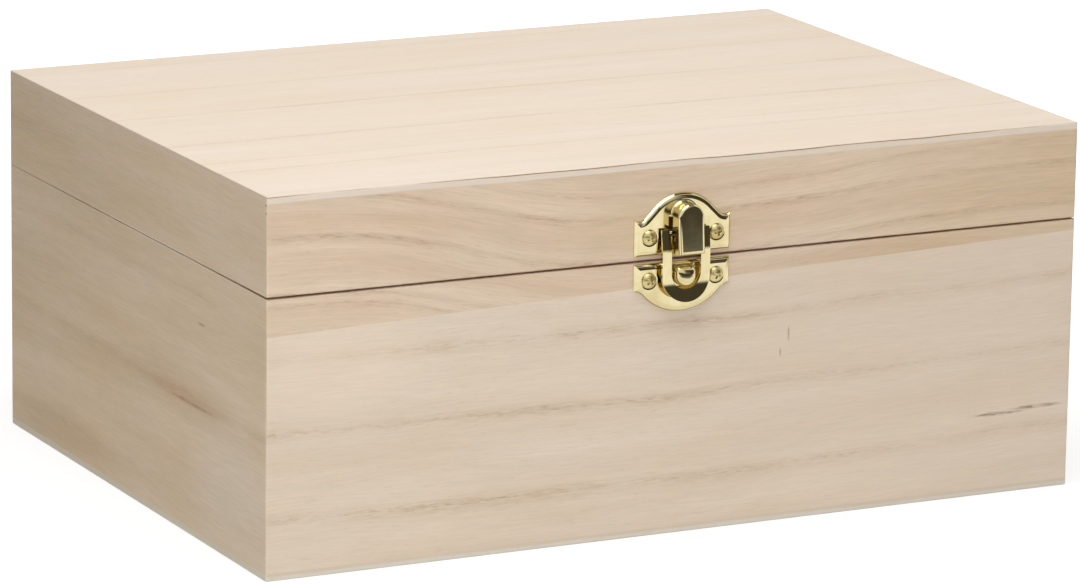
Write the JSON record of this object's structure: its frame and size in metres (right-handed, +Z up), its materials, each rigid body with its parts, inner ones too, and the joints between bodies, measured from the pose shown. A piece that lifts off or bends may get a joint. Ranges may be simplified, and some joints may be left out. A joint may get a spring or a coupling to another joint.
{
  "type": "wooden box",
  "caption": "Rectangular bare-wood box with a hinged lid on brass butt hinges, closed by a brass swing latch on the front.",
  "frame": {"origin": "middle of the bottom face's outline", "axes": "+X along the front to the right, -Y towards the front with the latch, +Z up"},
  "size_m": [0.3, 0.232, 0.127],
  "materials": {
    "front_wood": "bare, sanded",
    "stave_wood": "bare, sanded",
    "side_wood": "bare, sanded",
    "panel_wood": "bare, sanded",
    "latch_brass": "polished plating",
    "screw_brass": "polished plating",
    "hinge_brass": "polished plating"
  },
  "bodies": {
    "base": {"base_front_upper_stave": "front_wood", "base_front_lower_stave": "stave_wood", "base_right_wall": "side_wood", "base_back_wall": "side_wood", "base_left_wall": "side_wood", "bottom_panel": "panel_wood", "latch_catch_plate": "latch_brass", "latch_catch_screws": "screw_brass", "hinge_left_base_leaf": "hinge_brass", "hinge_left_pin": "hinge_brass", "hinge_right_base_leaf": "hinge_brass", "hinge_right_pin": "hinge_brass", "hinge_base_screws": "screw_brass"},
    "lid": {"lid_front_rail": "front_wood", "lid_right_rail": "side_wood", "lid_back_rail": "side_wood", "lid_left_rail": "side_wood", "top_panel": "panel_wood", "latch_lid_plate": "latch_brass", "latch_lid_screws": "screw_brass", "hinge_left_lid_leaf": "hinge_brass", "hinge_right_lid_leaf": "hinge_brass", "hinge_lid_screws": "screw_brass"},
    "bail": {"latch_bail": "latch_brass"}
  },
  "joints": [
    {"name": "lid_hinge", "type": "hinge", "parent": "base", "child": "lid", "pos_m": [0, 0.112, 0.0935], "axis": [-1, 0, 0], "range_deg": [0, 180]},
    {"name": "bail_swing", "type": "hinge", "parent": "lid", "child": "bail", "pos_m": [-0.001, -0.1126, 0.10325], "axis": [-1, 0, 0], "range_deg": [0, 165]}
  ]
}
